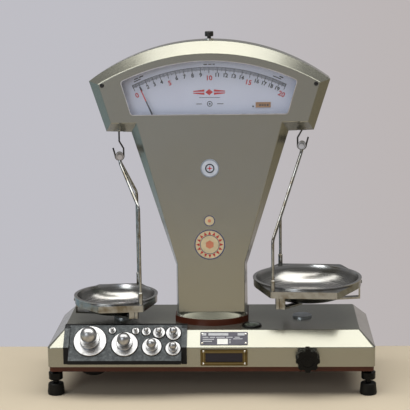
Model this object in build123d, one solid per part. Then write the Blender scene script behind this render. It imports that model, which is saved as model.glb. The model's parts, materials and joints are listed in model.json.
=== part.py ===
from build123d import *
from math import acos, asin, atan2, copysign, cos, degrees, hypot, pi, radians, sin, sqrt, tan
import os

# A semi-automatic two-pan pharmacy balance, at its real size in millimetres.
# X runs to the viewer's right, Y away from the viewer and Z up.
# The origin is on the table, midway between the four levelling feet, and the plane Y = 0
# holds the beam, the hooks and the centres of both pans.
# The balance is drawn at rest: the weights' pan, on the left, hangs lower than the goods' pan.

# Base
base_width = 460.0
base_depth = 183.0
base_corner = 6.0
face_height = 28.0
slope_rise = 20.0
slope_inset = 21.0
casing_wall = 2.5
press_round = 1.5
table_gap = 37.0
plate_thickness = 7.0
plate_inset = 1.5

# Levelling feet
foot_edge_x = 8.5
foot_edge_y = 16.5
pad_radius = 12.0
pad_top_radius = 10.8
pad_height = 16.5
pad_floor = 6.0
stem_radius = 4.0
stem_length = 52.0
wheel_radius = 10.0
wheel_bottom = 22.0
wheel_height = 11.0
foot_boss_radius = 5.8
foot_boss_height = 16.0

# Running clearance of a shaft in its hole, and the gap that seats one loose piece on another
running_gap = 0.05
seat_gap = 0.3

# Block of weights, let into the left of the base
block_width = 173.6
block_edge = 23.0
block_cheek = 7.5
cheek_thickness = 3.0
cheek_drop = 2.5
block_top_in = 25.5
block_top_rise = 5.8
block_lip_out = 12.5
block_lip_drop = 35.2
block_lip_height = 5.3
block_flange = 8.0
block_wall = 5.0
cup_wall = 1.8
cup_floor = 2.0
mouth_depth = 0.9
mouth_width = 0.9

# Weights: name, disc diameter, body length, place across the block, distance down its plate
weight_set = [
    ("1kg", 46.8, 56.0, 37.0, 25.3),
    ("500g", 37.6, 42.0, 86.1, 30.2),
    ("200g", 27.8, 34.0, 124.6, 34.3),
    ("100g_a", 21.6, 27.0, 154.5, 13.2),
    ("100g_b", 21.8, 27.0, 154.4, 37.0),
    ("50g", 17.4, 21.0, 133.9, 12.2),
    ("20g", 12.8, 16.0, 116.0, 10.4),
    ("10g_a", 10.2, 13.0, 100.8, 9.6),
    ("10g_b", 10.2, 13.0, 67.8, 8.8),
]
disc_proud = 1.5
ball_share = 0.50
collar_share = 0.60

# Column and head, one fan-shaped housing: the half widths and heights of its front panel
panel_y = -31.4
chamfer_depth = 19.9
housing_back = 31.4
housing_wall = 2.5
cover_thickness = 2.5
panel_foot = (47.5, 107.0)
panel_waist = (48.1, 180.0)
panel_neck = (102.3, 381.4)
panel_shoulder = (138.5, 381.1)
panel_corner = (154.9, 436.3)
panel_arch = 41.5
outer_foot = (51.2, 101.0)
outer_waist = (50.8, 173.0)
outer_neck = (111.4, 366.4)
outer_shoulder = (147.0, 367.4)
outer_corner = (170.0, 438.9)
outer_arch = 55.4
seam_x = 125.0
seam_width = 3.6
seam_depth = 0.7

# Foot of the column
plinth_height = 9.0
plinth_half_width = 52.5
plinth_side_y = -24.5
plinth_front_y = -50.7

# Dial window, dial and pointer
window_foot = (110.2, 391.9)
window_corner = (124.2, 439.7)
window_arch = 28.6
window_round = 5.0
trim_width = 1.2
trim_proud = 0.4
glass_thickness = 2.0
dial_gap = 10.9
dial_thickness = 1.5
tray_margin = 7.0
tray_wall = 1.5
pointer_centre_z = 211.2
pointer_length = 241.0
pointer_tail = 26.0
pointer_thickness = 1.0
pointer_y = -24.0
pointer_rest = -23.9

# Beam, knife edges and the gear that turns the pointer
gear_ratio = 8
gear_module = 1.6
pinion_teeth = 34
gear_width = 6.0
gear_backlash = 0.16
pressure_angle = 20.0
sector_half_angle = 6.0
sector_rim = 8.0
beam_arm = 130.5
beam_thickness = 8.0
beam_mid_height = 34.0
beam_end_radius = 7.0
knife_height = 8.0
end_knife_height = 5.5
knife_gap = 0.05
arbor_radius = 3.0
sector_arm_thickness = 3.0
bob_radius = 15.0
bob_width = 7.0
bob_drop = 112.0

# Frame that carries the beam's bearings and the pinion's, and the knives' reach to each side
frame_front = 18.0
frame_thickness = 3.0
frame_over_pivot = 40.0
frame_under_pinion = 14.0
frame_post_x = 40.0
frame_post_radius = 4.5
frame_rail = 12.0
yoke_width = 24.0
yoke_height = 8.0
yoke_leg = 5.0
knife_reach = 15.0

# Hooks and the spools that hang in them
hook_drop = 64.5
hook_wire = 1.2
hook_throat = 6.0
hook_bend_height = 11.0
hook_bend_top = 21.4
hook_tip = (9.1, 11.7)
hanger_width = 13.0
hanger_plate = 3.0
hanger_drop = 15.0
spool_flange = 5.7
spool_groove_width = 3.6

# Stirrups, carriers and dishes: the pan at the left holds weights, the one at the right goods
rod_radius = 2.2
rod_bend = 14.0
ferrule_radius = 3.3
eye_radius = 4.6
eye_width = 4.6
eye_y = 9.0
eye_drop = 8.0
shank_radius = 2.0
lug_radius = 5.0
hoop_height = 9.5
hoop_wall = 2.5
rim_width = 3.4
rim_thickness = 1.4
dish_wall = 1.2
arm_width = 11.0
arm_thickness = 2.5
hub_radius = 15.0
hoop_screw_radius = 2.4
hoop_screw_head = 1.7
gusset_thickness = 1.5
arm_offset = 11.5
pin_offset = 6.5
pin_radius = 3.3
pans = {
    "left": dict(
        side=-1, rim_radius=61.0, rim_z=127.5, depth=24.0, floor=27.0, out=10.2, inward=34.5, corner=22.6,
        lug_y=62.0, kink_z=266.0, ferrule=18.0, yaw=6.2, lug_rise=7.0, end_rise=2.0,
    ),
    "right": dict(
        side=1, rim_radius=78.6, rim_z=152.1, depth=29.4, floor=34.0, out=7.6, inward=44.0, corner=43.0,
        lug_y=83.0, kink_z=222.0, ferrule=15.7, yaw=-4.4, lug_rise=6.3, end_rise=2.8,
    ),
}

# Things on the base, the column and the head
stop_radius = 14.0
stop_height = 3.0
level_x = 57.6
level_y = -49.5
level_radius = 14.0
level_height = 2.4
level_glass_radius = 10.5
level_dome = 1.6
knob_edge = 94.7
knob_radius = 16.7
knob_lobes = 8
knob_length = 16.0
knob_collar = 3.6
knob_shaft_radius = 4.0
knob_shaft_length = 52.0
data_plate_x = 18.7
data_plate_size = (67.0, 21.0)
thin_plate = 0.8
seal_size = (66.0, 23.0)
seal_window = (52.0, 13.0)
seal_thickness = 2.0
badge_z = 316.5
badge_radius = 13.0
badge_thickness = 1.2
decal_z = 206.5
decal_x = -1.5
decal_radius = 22.0
small_decal_z = 241.0
small_decal_radius = 8.0
decal_thickness = 0.2
number_plate_x = (65.0, 86.3)
number_plate_z = (400.4, 407.9)
screw_radius = 3.0
screw_head = 1.2
rivet_radius = 1.5
rivet_head = 0.8
head_screw_in = (5.5, 1.8)
cover_screw_edge = 8.0
top_screw_y = 8.0
top_screw_neck = 2.8
top_screw_head = 6.1
top_screw_head_height = 7.0
top_screw_gap = 3.0
washer_radius = 6.0
washer_thickness = 1.7

# Heights and places that follow from the sizes above
base_bottom = table_gap + plate_thickness
bend_z = base_bottom + face_height
base_top = bend_z + slope_rise
face_y = -base_depth / 2
hip_y = face_y + slope_inset
outer_y = panel_y + chamfer_depth
pinion_radius = gear_module * pinion_teeth / 2
sector_radius = pinion_radius * gear_ratio
pivot_z = pointer_centre_z + sector_radius - pinion_radius
beam_rest = pointer_rest / gear_ratio
knob_z = base_bottom + face_height / 2
knob_x = base_width / 2 - knob_edge
foot_x = base_width / 2 - foot_edge_x
foot_y = base_depth / 2 - foot_edge_y
panel_apex = panel_corner[1] + panel_arch
outer_apex = outer_corner[1] + outer_arch
window_apex = window_corner[1] + window_arch
dial_y = panel_y + housing_wall + dial_gap


def plane_at(y):
    """The upright plane at depth y: sketches on it are drawn in X and Z."""
    return Plane.XZ.offset(-y)


def slab(face, y_front, y_back):
    """A flat piece between two depths, from a face drawn in X and Z."""
    return extrude(plane_at(y_back) * face, y_back - y_front)


def side_slab(points, x_low, x_high):
    """A piece along X from a polygon drawn in Y and Z."""
    return extrude(Plane.YZ.offset(x_low) * make_face(Polyline(points, close=True)), x_high - x_low)


def polygon(points):
    return make_face(Polyline(points, close=True))


def rod(radius, start, end):
    """A round bar from one point to another."""
    axis = Vector(*end) - Vector(*start)
    return extrude(Plane(origin=start, z_dir=axis) * Circle(radius), axis.length)


def turned(points):
    """A solid of revolution about Z from a profile of (radius, height) points."""
    return revolve(Plane.XZ * polygon(points), Axis.Z)


def fan(left_side, apex):
    """A face symmetric about X = 0: half widths and heights from the foot up, and an arched top."""
    left = [(-x, z) for x, z in left_side]
    right = [(x, z) for x, z in reversed(left_side)]
    return make_face(
        Polyline(left) + ThreePointArc(left[-1], (0, apex), right[0]) + Polyline(right) + Line(right[-1], left[0])
    )


def save(node, piece):
    piece.label = node
    export_step(piece, f"parts/{node}.step")


def one(pieces):
    """Several separate solids of one node, kept apart."""
    return Compound(children=list(pieces))


# Base


def hipped_box(inset, low, high):
    """The casing's form, smaller all round by the inset, from a low height up to a high one."""
    width = base_width - 2 * inset
    depth = base_depth - 2 * inset
    radius = base_corner - inset / 2
    bend = bend_z - inset * tan(radians(22.5))
    slope = slope_inset * (high - bend) / slope_rise
    lower = extrude(Pos(0, 0, low) * RectangleRounded(width, depth, radius), bend - low)
    upper = loft(
        [
            Pos(0, 0, bend) * RectangleRounded(width, depth, radius),
            Pos(0, 0, high) * RectangleRounded(width - 2 * slope, depth - 2 * slope, radius / 2),
        ],
        ruled=True,
    )
    return lower + upper


def block_point(down, rise=0.0):
    """Depth and height of a point on the block's plate, some way down it and above it."""
    return (
        block_top_y - down * cos(plate_angle) - rise * sin(plate_angle),
        base_top + block_top_rise - down * sin(plate_angle) + rise * cos(plate_angle),
    )


plate_angle = atan2(block_top_rise + block_lip_drop, block_top_in + block_lip_out)
block_low_x = block_edge - base_width / 2
block_high_x = block_low_x + block_width
block_top_y = face_y + block_top_in
block_lip_y = face_y - block_lip_out
lip_z = base_top - block_lip_drop
lip_bottom = lip_z - block_lip_height
block_back_y = block_top_y + block_flange
opening_margin = 2.5


def pocket_axis(weight):
    """A frame on the block's plate at a weight: its Z points out of the pocket."""
    name, diameter, length, across, down = weight
    y, z = block_point(down)
    return Plane(origin=(block_low_x + across, y, z), x_dir=(1, 0, 0), z_dir=(0, -sin(plate_angle), cos(plate_angle)))


def base_casing():
    casing = hipped_box(0, base_bottom, base_top)
    pressed = [e for e in casing.edges() if any(abs(e.center().Z - z) < 0.01 for z in (bend_z, base_top))]
    casing = casing.fillet(press_round, pressed)
    casing -= hipped_box(casing_wall, base_bottom, base_top - casing_wall)
    opening = side_slab(
        [
            (block_lip_y, lip_bottom + 1),
            (block_back_y - opening_margin, lip_bottom + 1),
            (block_back_y - opening_margin, base_top + block_top_rise),
            (block_lip_y, base_top + block_top_rise),
        ],
        block_low_x + block_cheek - opening_margin,
        block_high_x - block_cheek + opening_margin,
    )
    knob_hole = rod(knob_shaft_radius + running_gap, (knob_x, face_y - 1, knob_z), (knob_x, face_y + 5, knob_z))
    casing -= opening + knob_hole
    for weight in weight_set:
        casing -= pocket_axis(weight) * cup_body(weight, seat_gap)
    return casing


def base_plate():
    plate = extrude(
        Pos(0, 0, table_gap) * RectangleRounded(base_width - 2 * plate_inset, base_depth - 2 * plate_inset, base_corner),
        plate_thickness,
    )
    for x in (-foot_x, foot_x):
        for y in (-foot_y, foot_y):
            plate += Pos(x, y, base_bottom + foot_boss_height / 2) * Cylinder(foot_boss_radius, foot_boss_height)
            plate -= rod(stem_radius + running_gap, (x, y, table_gap - 1), (x, y, base_bottom + foot_boss_height + 1))
    bearing_y = face_y + casing_wall + knob_shaft_length - 10
    plate += Pos(knob_x, bearing_y, base_bottom) * Box(
        18, 8, knob_z - base_bottom + 8, align=(Align.CENTER, Align.CENTER, Align.MIN)
    )
    plate -= rod(knob_shaft_radius + running_gap, (knob_x, bearing_y - 6, knob_z), (knob_x, bearing_y + 6, knob_z))
    for weight in weight_set:
        plate -= pocket_axis(weight) * cup_body(weight, seat_gap)
    return plate


def cup_body(weight, margin=0.0):
    name, diameter, length, across, down = weight
    depth = length + cup_floor + margin
    return Pos(0, 0, -depth / 2) * Cylinder(diameter / 2 + running_gap + cup_wall + margin, depth)


def weight_block():
    inner_low = block_low_x + block_cheek
    inner_high = block_high_x - block_cheek
    top_z = base_top + block_top_rise
    y_in, z_in = block_point(0, -block_wall)
    face_in = z_in - (y_in - face_y) * tan(plate_angle)
    back_in = y_in - (z_in - base_top) / tan(plate_angle)
    block = side_slab(
        [
            (block_back_y, base_top),
            (block_back_y, top_z),
            (block_top_y, top_z),
            (block_lip_y, lip_z),
            (block_lip_y, lip_bottom),
            (face_y, lip_bottom),
            (face_y, face_in),
            (back_in, base_top),
        ],
        inner_low,
        inner_high,
    )
    cheek = [
        (face_y - cheek_thickness, lip_bottom - cheek_drop),
        (face_y - cheek_thickness, bend_z + cheek_thickness / 2),
        (hip_y - cheek_thickness / 2, base_top + cheek_thickness),
        (block_top_y, top_z),
        (block_back_y, top_z),
        (block_back_y, base_top),
        (hip_y, base_top),
        (face_y, bend_z),
        (face_y, lip_bottom - cheek_drop),
    ]
    block += side_slab(cheek, block_low_x, inner_low)
    block += side_slab(cheek, inner_high, block_high_x)
    for weight in weight_set:
        block += pocket_axis(weight) * cup_body(weight)
    for weight in weight_set:
        name, diameter, length, across, down = weight
        bore = diameter / 2 + running_gap
        cut = turned(
            [
                (0, -length),
                (bore, -length),
                (bore, -mouth_depth),
                (bore + mouth_width, 0),
                (bore + mouth_width, 2),
                (0, 2),
            ]
        )
        block -= pocket_axis(weight) * cut
    return block


def weight_piece(weight):
    name, diameter, length, across, down = weight
    radius = diameter / 2
    ball = radius * ball_share
    collar = radius * collar_share
    neck = ball * 0.55
    ball_z = disc_proud + radius * 0.78
    edge = min(0.6, radius * 0.06)
    collar_top = disc_proud + radius * 0.20
    shape = turned(
        [
            (0, -length),
            (radius - edge, -length),
            (radius, -length + edge),
            (radius, disc_proud - edge),
            (radius - edge, disc_proud),
            (collar, disc_proud),
            (collar, collar_top - edge),
            (collar - edge, collar_top),
            (neck, collar_top + edge),
            (neck, ball_z),
            (0, ball_z),
        ]
    )
    return pocket_axis(weight) * (shape + Pos(0, 0, ball_z) * Sphere(ball))


def foot_screw(x, y):
    stem = rod(stem_radius, (x, y, pad_floor), (x, y, pad_floor + stem_length))
    wheel = Pos(x, y, wheel_bottom + wheel_height / 2) * Cylinder(wheel_radius, wheel_height)
    return stem + chamfer(wheel.edges().filter_by(GeomType.CIRCLE), 1.0)


def foot_pad(x, y):
    pad = turned(
        [
            (0, 0),
            (pad_radius - 1, 0),
            (pad_radius, 1),
            (pad_radius, 4),
            (pad_top_radius, pad_height - 1),
            (pad_top_radius - 1, pad_height),
            (0, pad_height),
        ]
    )
    socket = rod(stem_radius + running_gap, (0, 0, pad_floor), (0, 0, pad_height + 1))
    return Pos(x, y, 0) * (pad - socket)


def arrest_knob():
    outline = Circle(knob_radius)
    scallop = knob_radius * 0.22
    for k in range(knob_lobes):
        outline -= Rot(0, 0, 360 / knob_lobes * (k + 0.5)) * Pos(knob_radius * 1.06, 0) * Circle(scallop)
    knob_back = face_y - knob_collar
    grip = slab(outline, knob_back - knob_length, knob_back)
    grip -= slab(Circle(knob_radius * 0.55), knob_back - knob_length, knob_back - knob_length + 1)
    collar = slab(Circle(knob_radius * 0.62), knob_back, face_y - seat_gap)
    shaft = slab(Circle(knob_shaft_radius), knob_back, face_y + casing_wall + knob_shaft_length)
    return Pos(knob_x, 0, knob_z) * (grip + collar + shaft)


def spirit_level():
    body = Pos(level_x, level_y, base_top + level_height / 2) * Cylinder(level_radius, level_height)
    body = chamfer(body.edges().filter_by(GeomType.CIRCLE).group_by(Axis.Z)[-1], 0.8)
    seat = Pos(level_x, level_y, base_top + level_height / 2 + 1) * Cylinder(level_glass_radius, level_height)
    body -= seat
    cap_radius = (level_glass_radius**2 + level_dome**2) / (2 * level_dome)
    floor_z = base_top + 1.0
    rim_z = base_top + level_height
    vial = Pos(level_x, level_y, (floor_z + rim_z) / 2) * Cylinder(level_glass_radius, rim_z - floor_z)
    cap = Pos(level_x, level_y, rim_z + level_dome - cap_radius) * Sphere(cap_radius)
    cap &= Pos(level_x, level_y, rim_z + level_dome / 2) * Cylinder(level_glass_radius, level_dome)
    return body, vial + cap


def pan_stop(x):
    stop = Pos(x, 0, base_top + stop_height / 2) * Cylinder(stop_radius, stop_height)
    return chamfer(stop.edges().filter_by(GeomType.CIRCLE).group_by(Axis.Z)[-1], 0.8)


def slope_plane():
    """A frame on the front slope of the base, under the data plate."""
    slope_angle = atan2(slope_rise, slope_inset)
    return Plane(
        origin=(data_plate_x, face_y + slope_inset / 2, bend_z + slope_rise / 2),
        x_dir=(1, 0, 0),
        z_dir=(0, -sin(slope_angle), cos(slope_angle)),
    )


def data_plate():
    return extrude(slope_plane() * RectangleRounded(*data_plate_size, 1.5), thin_plate)


def seal_frame():
    z = base_bottom + face_height / 2
    ring = RectangleRounded(*seal_size, 1.2) - RectangleRounded(*seal_window, 0.8)
    frame = slab(Pos(data_plate_x, z) * ring, face_y - seal_thickness, face_y)
    insert = slab(Pos(data_plate_x, z) * RectangleRounded(*seal_window, 0.8), face_y - thin_plate, face_y)
    return frame, insert


# Column and head


def panel_face():
    return fan([panel_foot, panel_waist, panel_neck, panel_shoulder, panel_corner], panel_apex)


def outer_face():
    return fan([outer_foot, outer_waist, outer_neck, outer_shoulder, outer_corner], outer_apex)


def shrunk(face, amount):
    return offset(face, -amount, kind=Kind.INTERSECTION)


def window_face(margin=0.0):
    face = fan([window_foot, window_corner], window_apex)
    face = fillet(face.vertices(), window_round)
    return offset(face, margin, kind=Kind.ARC) if margin else face


def foot_outline(z, front_y, side_y, half_width):
    """Plan of the column's foot: straight sides and back, and a front that bulges to the viewer."""
    back = housing_back
    edges = (
        ThreePointArc((-half_width, side_y), (0, front_y), (half_width, side_y))
        + Line((half_width, side_y), (half_width, back))
        + Line((half_width, back), (-half_width, back))
        + Line((-half_width, back), (-half_width, side_y))
    )
    return Pos(0, 0, z) * make_face(edges)


def column_plinth():
    return extrude(foot_outline(base_top, plinth_front_y, plinth_side_y, plinth_half_width), plinth_height)


def edges_at(body, y, above):
    """The edges of a piece that lie at depth y and over a height."""
    flat = [e for e in body.edges() if all(abs(point.Y - y) < 0.02 for point in (e @ 0, e @ 0.5, e @ 1))]
    return [e for e in flat if e.center().Z > above]


def housing():
    back = housing_back - cover_thickness
    body = loft([plane_at(panel_y) * panel_face(), plane_at(outer_y) * outer_face()], ruled=True)
    body += slab(outer_face(), outer_y, back)
    body = body.fillet(press_round, edges_at(body, panel_y, 0))
    body = body.fillet(press_round, edges_at(body, outer_y, outer_shoulder[1] + 1))
    ledge_low = base_top + plinth_height
    ledge = loft(
        [
            foot_outline(ledge_low, plinth_front_y + 1, plinth_side_y, outer_foot[0]),
            foot_outline(panel_foot[1] + 0.6, panel_y - 0.8, panel_y + 6, panel_foot[0]),
        ],
        ruled=True,
    )
    behind = Pos(0, (back + housing_back) / 2 + 5, ledge_low) * Box(3 * plinth_half_width, housing_back - back + 10, 40)
    body += ledge - behind
    cavity = loft(
        [
            plane_at(panel_y + housing_wall) * shrunk(panel_face(), housing_wall * 0.6),
            plane_at(outer_y) * shrunk(outer_face(), housing_wall),
        ],
        ruled=True,
    )
    cavity += slab(shrunk(outer_face(), housing_wall), outer_y, back)
    body -= cavity
    body -= slab(window_face(), panel_y - 1, panel_y + housing_wall + 1)
    drop = panel_shoulder[1] - outer_shoulder[1]
    for side in (-1, 1):
        body -= Pos(side * (beam_arm - 3), 0, outer_shoulder[1]) * Box(20, 9, 12)
        seam = Plane(
            origin=(side * seam_x, (panel_y + outer_y) / 2, panel_shoulder[1] - drop / 2),
            x_dir=(1, 0, 0),
            z_dir=(0, -drop, -chamfer_depth),
        )
        body -= extrude(seam * Rectangle(seam_width, 2 * chamfer_depth), seam_depth, both=True)
    body -= rod(top_screw_neck + running_gap, (0, top_screw_y, outer_apex - 8), (0, top_screw_y, outer_apex + 3))
    return body


def rear_cover():
    return slab(outer_face(), housing_back - cover_thickness, housing_back)


def window_trim():
    ring = window_face() - window_face(-trim_width)
    return slab(ring, panel_y - trim_proud, panel_y + housing_wall)


def window_glass():
    back_of_panel = panel_y + housing_wall
    return slab(window_face(tray_margin - tray_wall - seat_gap), back_of_panel, back_of_panel + glass_thickness)


def dial_tray():
    back_of_panel = panel_y + housing_wall
    plate = slab(window_face(tray_margin), dial_y, dial_y + dial_thickness)
    ring = window_face(tray_margin) - window_face(tray_margin - tray_wall)
    wall = slab(ring, back_of_panel, dial_y)
    under = Pos(0, dial_y, window_foot[1] - 2 * tray_margin) * Box(4 * window_foot[0], 60, 4 * tray_margin)
    return plate + (wall - under)


def badge():
    disc = slab(Circle(badge_radius), panel_y - badge_thickness, panel_y)
    return Pos(0, 0, badge_z) * disc


def decal():
    big = slab(Circle(decal_radius), panel_y - decal_thickness, panel_y)
    small = slab(Circle(small_decal_radius), panel_y - decal_thickness, panel_y)
    return one([Pos(decal_x, 0, decal_z) * big, Pos(decal_x, 0, small_decal_z) * small])


def number_plate():
    low_x, high_x = number_plate_x
    low_z, high_z = number_plate_z
    plate = Pos((low_x + high_x) / 2, (low_z + high_z) / 2) * Rectangle(high_x - low_x, high_z - low_z)
    return slab(plate, dial_y - thin_plate, dial_y)


def slotted_head():
    """A screw's head with a slot across it, standing on its origin."""
    head = Pos(0, 0, screw_head / 2) * Cylinder(screw_radius, screw_head)
    head = chamfer(head.edges().filter_by(GeomType.CIRCLE).group_by(Axis.Z)[-1], 0.3)
    return head - Pos(0, 0, screw_head) * Box(2 * screw_radius, 0.8, screw_head)


def rivet():
    return turned([(0, 0), (rivet_radius, 0), (rivet_radius * 0.7, rivet_head * 0.7), (0, rivet_head)])


def head_screws():
    """Two screws at the upper corners of the head's front panel."""
    inward, down = head_screw_in
    x = panel_corner[0] - inward
    z = panel_corner[1] - down
    return one([Pos(side * x, panel_y, z) * Rot(90, 0, 0) * slotted_head() for side in (-1, 1)])


def cover_screw_places():
    """Round the rear cover, a little inside its outline; the half on the right, then the one at the top."""
    for x, z in (outer_foot, outer_corner):
        yield x - 1.6 * cover_screw_edge, z + (cover_screw_edge if z == outer_foot[1] else -0.5 * cover_screw_edge)
    yield (outer_foot[0] + outer_waist[0]) / 2 - cover_screw_edge, outer_waist[1] + cover_screw_edge
    yield (outer_neck[0] + outer_waist[0]) / 2 - cover_screw_edge, (outer_neck[1] + outer_waist[1]) / 2
    yield (outer_neck[0] + outer_shoulder[0]) / 2, outer_shoulder[1] + cover_screw_edge


def fasteners():
    """The screws of the rear cover, and the rivets of both plates on the base."""
    heads = [Pos(0, housing_back, outer_apex - cover_screw_edge) * Rot(-90, 0, 0) * slotted_head()]
    for side in (-1, 1):
        for x, z in cover_screw_places():
            heads.append(Pos(side * x, housing_back, z) * Rot(-90, 0, 0) * slotted_head())
        for rise in (-1, 1):
            x = data_plate_x + side * (seal_size[0] / 2 - 4)
            z = base_bottom + face_height / 2 + rise * (seal_size[1] / 2 - 2.5)
            heads.append(Pos(x, face_y - seal_thickness, z) * Rot(90, 0, 0) * rivet())
            place = Pos(side * (data_plate_size[0] / 2 - 3), rise * (data_plate_size[1] / 2 - 3), thin_plate)
            heads.append(slope_plane() * place * rivet())
    return one(heads)


def top_screw():
    low = outer_apex + washer_thickness
    neck = rod(top_screw_neck, (0, top_screw_y, outer_apex - 14), (0, top_screw_y, low + top_screw_gap))
    head = Pos(0, top_screw_y, low + top_screw_gap + top_screw_head_height / 2) * Cylinder(
        top_screw_head, top_screw_head_height
    )
    return neck + chamfer(head.edges().filter_by(GeomType.CIRCLE), 0.8)


def top_washer():
    ring = Cylinder(washer_radius, washer_thickness) - Cylinder(top_screw_neck + running_gap, washer_thickness)
    return Pos(0, top_screw_y, outer_apex + washer_thickness / 2) * ring


# Beam, knife edges and gear, drawn level and then turned to where they rest


def rest_turn(piece, angle, z):
    """Turns a piece about the Y axis through the height z, positive from Z towards X."""
    return Pos(0, 0, z) * Rot(0, angle, 0) * Pos(0, 0, -z) * piece


def triangle(height, half_width, up):
    """A knife's section: its edge at the origin, pointing up or down."""
    base = -height if up else height
    return polygon([(0, 0), (-half_width, base), (half_width, base)])


def knife_sections():
    """Where each knife sits along the beam, with its section."""
    yield 0, triangle(knife_height, knife_height * 0.55, False)
    for side in (-1, 1):
        yield side * beam_arm, triangle(end_knife_height, end_knife_height * 0.55, True)


def beam():
    half = beam_mid_height / 2
    end = beam_end_radius
    low_end = -end_knife_height / 2
    outline = make_hull(
        (
            Pos(0, 3) * Circle(half)
            + Pos(-beam_arm, low_end) * Circle(end)
            + Pos(beam_arm, low_end) * Circle(end)
        ).edges()
    )
    for side in (-1, 1):
        window = polygon(
            [
                (side * 26, -half * 0.55 + 3),
                (side * 26, half * 0.55 + 3),
                (side * 108, end * 0.35),
                (side * 108, -end * 0.75),
            ]
        )
        outline -= fillet(window.vertices(), 2.5)
    for x, section in knife_sections():
        outline -= Pos(x, 0) * section
    bar = slab(Pos(0, pivot_z) * outline, -beam_thickness / 2, beam_thickness / 2)
    return rest_turn(bar, beam_rest, pivot_z)


end_knife_reach = beam_thickness / 2 + hanger_plate + 1.0


def beam_knives():
    prisms = []
    for x, section in knife_sections():
        reach = end_knife_reach if x else knife_reach
        prisms.append(rest_turn(slab(Pos(x, pivot_z) * section, -reach, reach), beam_rest, pivot_z))
    return one(prisms)


def sector_arm():
    """The pendulum arm under the beam, with the inside-toothed sector at its lower end."""
    front = -gear_width / 2 - 1
    arm_front = beam_thickness / 2
    arm_back = arm_front + sector_arm_thickness
    outer = sector_radius + sector_rim
    arm = polygon([(-11, -2), (11, -2), (8, -outer + 3), (-8, -outer + 3)])
    plate = slab(Pos(0, pivot_z) * (Pos(0, 2) * Circle(12) + arm), arm_front, arm_back)
    plate -= slab(Pos(0, pivot_z) * triangle(knife_height, knife_height * 0.55, False), arm_front, arm_back)
    half = radians(sector_half_angle)
    root = sector_radius + 1.25 * gear_module
    wedge = polygon(
        [
            (0, 0),
            (-2 * outer * tan(half), -2 * outer),
            (2 * outer * tan(half), -2 * outer),
        ]
    )
    rim = (Circle(outer) - Circle(root)) & wedge
    sketch = rim
    tooth_step = 360 / (pinion_teeth * gear_ratio)
    count = int(sector_half_angle / tooth_step) - 1
    for k in range(-count, count + 1):
        sketch += Rot(0, 0, k * tooth_step) * inside_tooth(root)
    teeth = slab(Pos(0, pivot_z) * sketch, front, arm_back)
    return rest_turn(plate + teeth, beam_rest, pivot_z)


def inside_tooth(root):
    """One tooth of the sector, hanging up from its rim at the bottom of the circle."""
    slope = tan(radians(pressure_angle))
    half_pitch = pi * gear_module / 4 - gear_backlash / 2
    tip = sector_radius - 0.8 * gear_module
    at_tip = half_pitch - (sector_radius - tip) * slope
    at_root = half_pitch + (root - sector_radius) * slope
    return polygon([(-at_root, -root - 0.5), (at_root, -root - 0.5), (at_root, -root), (at_tip, -tip),
                    (-at_tip, -tip), (-at_root, -root)])


def involute(base, radius):
    """Angle of an involute at a radius, in radians from where it leaves its base circle."""
    roll = sqrt((radius / base) ** 2 - 1)
    return roll - acos(base / radius)


def pinion_face():
    base = pinion_radius * cos(radians(pressure_angle))
    tip = pinion_radius + 0.9 * gear_module
    root = pinion_radius - 1.25 * gear_module
    half_tooth = (pi / 2 - gear_backlash / gear_module) / pinion_teeth
    start = involute(base, pinion_radius)
    flank = []
    for step in range(4):
        radius = base + (tip - base) * step / 3
        angle = half_tooth + start - involute(base, radius)
        flank.append((radius * sin(angle), radius * cos(angle)))
    low = (root * sin(half_tooth + start), root * cos(half_tooth + start))
    tooth = polygon([(-x, y) for x, y in [low] + flank] + list(reversed([low] + flank)))
    wheel = Circle(root + 0.02)
    half_pitch_angle = 180 / pinion_teeth
    for k in range(pinion_teeth):
        wheel += Rot(0, 0, 180 + half_pitch_angle * (2 * k + 1)) * tooth
    return wheel


def pinion():
    """The small gear and its arbor, which carries the pointer at its front end."""
    front = -gear_width / 2 - 1
    wheel = slab(pinion_face(), front, front + gear_width)
    arbor = slab(Circle(arbor_radius), pointer_y - 1.6, front)
    return rest_turn(Pos(0, 0, pointer_centre_z) * (wheel + arbor), pointer_rest, pointer_centre_z)


def pointer():
    half = pointer_thickness / 2
    needle = polygon(
        [
            (-2.4, -pointer_tail),
            (2.4, -pointer_tail),
            (1.5, 0),
            (1.3, pointer_length * 0.78),
            (0.45, pointer_length),
            (-0.45, pointer_length),
            (-1.3, pointer_length * 0.78),
            (-1.5, 0),
        ]
    )
    blade = slab(needle, pointer_y - half, pointer_y + half)
    hub = slab(Circle(6), pointer_y - 1.2, pointer_y + 1.2)
    whole = blade + hub - slab(Circle(arbor_radius), pointer_y - 3, pointer_y + 3)
    return rest_turn(Pos(0, 0, pointer_centre_z) * whole, pointer_rest, pointer_centre_z)


def pendulum_bob():
    arm_back = beam_thickness / 2 + sector_arm_thickness
    bob = slab(Pos(0, pivot_z - bob_drop) * Circle(bob_radius), arm_back, arm_back + bob_width)
    bob = chamfer(bob.edges().filter_by(GeomType.CIRCLE), 1.0)
    return rest_turn(bob, beam_rest, pivot_z)


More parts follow.
